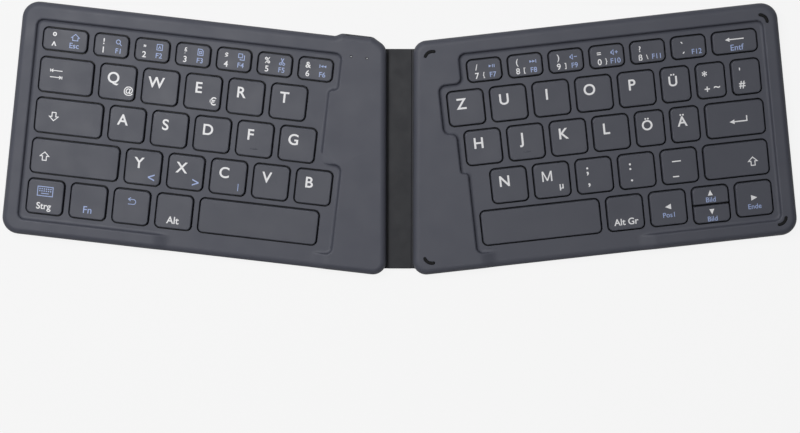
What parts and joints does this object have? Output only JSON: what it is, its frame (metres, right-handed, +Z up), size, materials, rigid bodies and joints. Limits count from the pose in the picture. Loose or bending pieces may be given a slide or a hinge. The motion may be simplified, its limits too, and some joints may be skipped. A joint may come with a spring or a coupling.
{
  "type": "folding keyboard",
  "caption": "Thin folding keyboard with two angled halves of low scissor keys, joined by a flexible strip that folds like a book's spine.",
  "frame": {"origin": "under the middle of the open keyboard's bounding box, on the surface it rests on", "axes": "+X to the user's right along both halves, +Y away from the user, +Z up"},
  "size_m": [0.2934, 0.1002, 0.0071],
  "materials": {
    "case": "soft-touch matte",
    "keycap": "soft-touch matte",
    "bottom_shell": "fine matte texture",
    "strip": "smooth coated synthetic leather",
    "steel_plate": "plain rolled",
    "membrane": "satin film",
    "silicone": "matt silicone",
    "link_plastic": "moulded",
    "battery_foil": "foil pouch",
    "circuit_board": "solder resist",
    "port_steel": "deep drawn",
    "lens": "clear light pipe",
    "magnet": "nickel plated",
    "foot_rubber": "matt",
    "flex": "polyimide film",
    "bumper": "matt"
  },
  "bodies": {
    "spine": {"hinge_strip": "strip", "flex_cable": "flex"},
    "left_half": {"left_top_case": "case", "left_bottom_shell": "bottom_shell", "left_key_plate": "steel_plate", "left_membrane": "membrane", "left_rubber_domes": "silicone", "left_scissor_links": "link_plastic", "battery": "battery_foil", "main_board": "circuit_board", "charging_port": "port_steel", "indicator_lenses": "lens", "left_magnets": "magnet", "left_feet": "foot_rubber", "left_strip_flap": "strip"},
    "right_half": {"right_strip_flap": "strip", "right_top_case": "case", "right_bottom_shell": "bottom_shell", "right_key_plate": "steel_plate", "right_membrane": "membrane", "right_rubber_domes": "silicone", "right_scissor_links": "link_plastic", "right_magnets": "magnet", "right_feet": "foot_rubber", "corner_bumpers": "bumper"},
    "number_keys_left": {"number_keys_left": "keycap"},
    "modifier_keys_left": {"modifier_keys_left": "keycap"},
    "space_bar_left": {"space_bar_left": "keycap"},
    "key_q": {"key_q": "keycap"},
    "key_w": {"key_w": "keycap"},
    "key_e": {"key_e": "keycap"},
    "key_r": {"key_r": "keycap"},
    "key_t": {"key_t": "keycap"},
    "key_a": {"key_a": "keycap"},
    "key_s": {"key_s": "keycap"},
    "key_d": {"key_d": "keycap"},
    "key_f": {"key_f": "keycap"},
    "key_g": {"key_g": "keycap"},
    "key_y": {"key_y": "keycap"},
    "key_x": {"key_x": "keycap"},
    "key_c": {"key_c": "keycap"},
    "key_v": {"key_v": "keycap"},
    "key_b": {"key_b": "keycap"},
    "number_keys_right": {"number_keys_right": "keycap"},
    "punctuation_keys": {"punctuation_keys": "keycap"},
    "umlaut_keys": {"umlaut_keys": "keycap"},
    "modifier_keys_right": {"modifier_keys_right": "keycap"},
    "arrow_keys": {"arrow_keys": "keycap"},
    "space_bar_right": {"space_bar_right": "keycap"},
    "key_p": {"key_p": "keycap"},
    "key_o": {"key_o": "keycap"},
    "key_i": {"key_i": "keycap"},
    "key_u": {"key_u": "keycap"},
    "key_z": {"key_z": "keycap"},
    "key_l": {"key_l": "keycap"},
    "key_k": {"key_k": "keycap"},
    "key_j": {"key_j": "keycap"},
    "key_h": {"key_h": "keycap"},
    "key_m": {"key_m": "keycap"},
    "key_n": {"key_n": "keycap"}
  },
  "joints": [
    {"name": "left_fold", "type": "hinge", "parent": "spine", "child": "left_half", "pos_m": [-0.0047, -0.00753, 0.0025], "axis": [0, 1, 0], "range_deg": [0, 90]},
    {"name": "right_fold", "type": "hinge", "parent": "spine", "child": "right_half", "pos_m": [0.0047, -0.00753, 0.0025], "axis": [0, -1, 0], "range_deg": [0, 90]},
    {"name": "number_keys_left_press", "type": "slide", "parent": "left_half", "child": "number_keys_left", "axis": [0, 0, -1], "range_m": [0, 0.0013], "stiffness_N_per_m": 2450, "springref_m": -0.0005},
    {"name": "modifier_keys_left_press", "type": "slide", "parent": "left_half", "child": "modifier_keys_left", "axis": [0, 0, -1], "range_m": [0, 0.0013], "stiffness_N_per_m": 2450, "springref_m": -0.0005},
    {"name": "space_bar_left_press", "type": "slide", "parent": "left_half", "child": "space_bar_left", "axis": [0, 0, -1], "range_m": [0, 0.0013], "stiffness_N_per_m": 350, "springref_m": -0.0005},
    {"name": "q_press", "type": "slide", "parent": "left_half", "child": "key_q", "axis": [0, 0, -1], "range_m": [0, 0.0013], "stiffness_N_per_m": 350, "springref_m": -0.0005, "deforming": ["left_rubber_domes", "left_scissor_links"]},
    {"name": "w_press", "type": "slide", "parent": "left_half", "child": "key_w", "axis": [0, 0, -1], "range_m": [0, 0.0013], "stiffness_N_per_m": 350, "springref_m": -0.0005},
    {"name": "e_press", "type": "slide", "parent": "left_half", "child": "key_e", "axis": [0, 0, -1], "range_m": [0, 0.0013], "stiffness_N_per_m": 350, "springref_m": -0.0005},
    {"name": "r_press", "type": "slide", "parent": "left_half", "child": "key_r", "axis": [0, 0, -1], "range_m": [0, 0.0013], "stiffness_N_per_m": 350, "springref_m": -0.0005},
    {"name": "t_press", "type": "slide", "parent": "left_half", "child": "key_t", "axis": [0, 0, -1], "range_m": [0, 0.0013], "stiffness_N_per_m": 350, "springref_m": -0.0005},
    {"name": "a_press", "type": "slide", "parent": "left_half", "child": "key_a", "axis": [0, 0, -1], "range_m": [0, 0.0013], "stiffness_N_per_m": 350, "springref_m": -0.0005},
    {"name": "s_press", "type": "slide", "parent": "left_half", "child": "key_s", "axis": [0, 0, -1], "range_m": [0, 0.0013], "stiffness_N_per_m": 350, "springref_m": -0.0005},
    {"name": "d_press", "type": "slide", "parent": "left_half", "child": "key_d", "axis": [0, 0, -1], "range_m": [0, 0.0013], "stiffness_N_per_m": 350, "springref_m": -0.0005},
    {"name": "f_press", "type": "slide", "parent": "left_half", "child": "key_f", "axis": [0, 0, -1], "range_m": [0, 0.0013], "stiffness_N_per_m": 350, "springref_m": -0.0005},
    {"name": "g_press", "type": "slide", "parent": "left_half", "child": "key_g", "axis": [0, 0, -1], "range_m": [0, 0.0013], "stiffness_N_per_m": 350, "springref_m": -0.0005},
    {"name": "y_press", "type": "slide", "parent": "left_half", "child": "key_y", "axis": [0, 0, -1], "range_m": [0, 0.0013], "stiffness_N_per_m": 350, "springref_m": -0.0005},
    {"name": "x_press", "type": "slide", "parent": "left_half", "child": "key_x", "axis": [0, 0, -1], "range_m": [0, 0.0013], "stiffness_N_per_m": 350, "springref_m": -0.0005},
    {"name": "c_press", "type": "slide", "parent": "left_half", "child": "key_c", "axis": [0, 0, -1], "range_m": [0, 0.0013], "stiffness_N_per_m": 350, "springref_m": -0.0005},
    {"name": "v_press", "type": "slide", "parent": "left_half", "child": "key_v", "axis": [0, 0, -1], "range_m": [0, 0.0013], "stiffness_N_per_m": 350, "springref_m": -0.0005},
    {"name": "b_press", "type": "slide", "parent": "left_half", "child": "key_b", "axis": [0, 0, -1], "range_m": [0, 0.0013], "stiffness_N_per_m": 350, "springref_m": -0.0005},
    {"name": "number_keys_right_press", "type": "slide", "parent": "right_half", "child": "number_keys_right", "axis": [0, 0, -1], "range_m": [0, 0.0013], "stiffness_N_per_m": 2450, "springref_m": -0.0005},
    {"name": "punctuation_keys_press", "type": "slide", "parent": "right_half", "child": "punctuation_keys", "axis": [0, 0, -1], "range_m": [0, 0.0013], "stiffness_N_per_m": 1750, "springref_m": -0.0005},
    {"name": "umlaut_keys_press", "type": "slide", "parent": "right_half", "child": "umlaut_keys", "axis": [0, 0, -1], "range_m": [0, 0.0013], "stiffness_N_per_m": 1050, "springref_m": -0.0005},
    {"name": "modifier_keys_right_press", "type": "slide", "parent": "right_half", "child": "modifier_keys_right", "axis": [0, 0, -1], "range_m": [0, 0.0013], "stiffness_N_per_m": 1050, "springref_m": -0.0005},
    {"name": "arrow_keys_press", "type": "slide", "parent": "right_half", "child": "arrow_keys", "axis": [0, 0, -1], "range_m": [0, 0.0013], "stiffness_N_per_m": 1400, "springref_m": -0.0005},
    {"name": "space_bar_right_press", "type": "slide", "parent": "right_half", "child": "space_bar_right", "axis": [0, 0, -1], "range_m": [0, 0.0013], "stiffness_N_per_m": 350, "springref_m": -0.0005},
    {"name": "p_press", "type": "slide", "parent": "right_half", "child": "key_p", "axis": [0, 0, -1], "range_m": [0, 0.0013], "stiffness_N_per_m": 350, "springref_m": -0.0005, "deforming": ["right_rubber_domes", "right_scissor_links"]},
    {"name": "o_press", "type": "slide", "parent": "right_half", "child": "key_o", "axis": [0, 0, -1], "range_m": [0, 0.0013], "stiffness_N_per_m": 350, "springref_m": -0.0005},
    {"name": "i_press", "type": "slide", "parent": "right_half", "child": "key_i", "axis": [0, 0, -1], "range_m": [0, 0.0013], "stiffness_N_per_m": 350, "springref_m": -0.0005},
    {"name": "u_press", "type": "slide", "parent": "right_half", "child": "key_u", "axis": [0, 0, -1], "range_m": [0, 0.0013], "stiffness_N_per_m": 350, "springref_m": -0.0005},
    {"name": "z_press", "type": "slide", "parent": "right_half", "child": "key_z", "axis": [0, 0, -1], "range_m": [0, 0.0013], "stiffness_N_per_m": 350, "springref_m": -0.0005},
    {"name": "l_press", "type": "slide", "parent": "right_half", "child": "key_l", "axis": [0, 0, -1], "range_m": [0, 0.0013], "stiffness_N_per_m": 350, "springref_m": -0.0005},
    {"name": "k_press", "type": "slide", "parent": "right_half", "child": "key_k", "axis": [0, 0, -1], "range_m": [0, 0.0013], "stiffness_N_per_m": 350, "springref_m": -0.0005},
    {"name": "j_press", "type": "slide", "parent": "right_half", "child": "key_j", "axis": [0, 0, -1], "range_m": [0, 0.0013], "stiffness_N_per_m": 350, "springref_m": -0.0005},
    {"name": "h_press", "type": "slide", "parent": "right_half", "child": "key_h", "axis": [0, 0, -1], "range_m": [0, 0.0013], "stiffness_N_per_m": 350, "springref_m": -0.0005},
    {"name": "m_press", "type": "slide", "parent": "right_half", "child": "key_m", "axis": [0, 0, -1], "range_m": [0, 0.0013], "stiffness_N_per_m": 350, "springref_m": -0.0005},
    {"name": "n_press", "type": "slide", "parent": "right_half", "child": "key_n", "axis": [0, 0, -1], "range_m": [0, 0.0013], "stiffness_N_per_m": 350, "springref_m": -0.0005}
  ],
  "couplings": [
    {"joint": "right_fold", "follows": "left_fold", "ratio": 1}
  ]
}
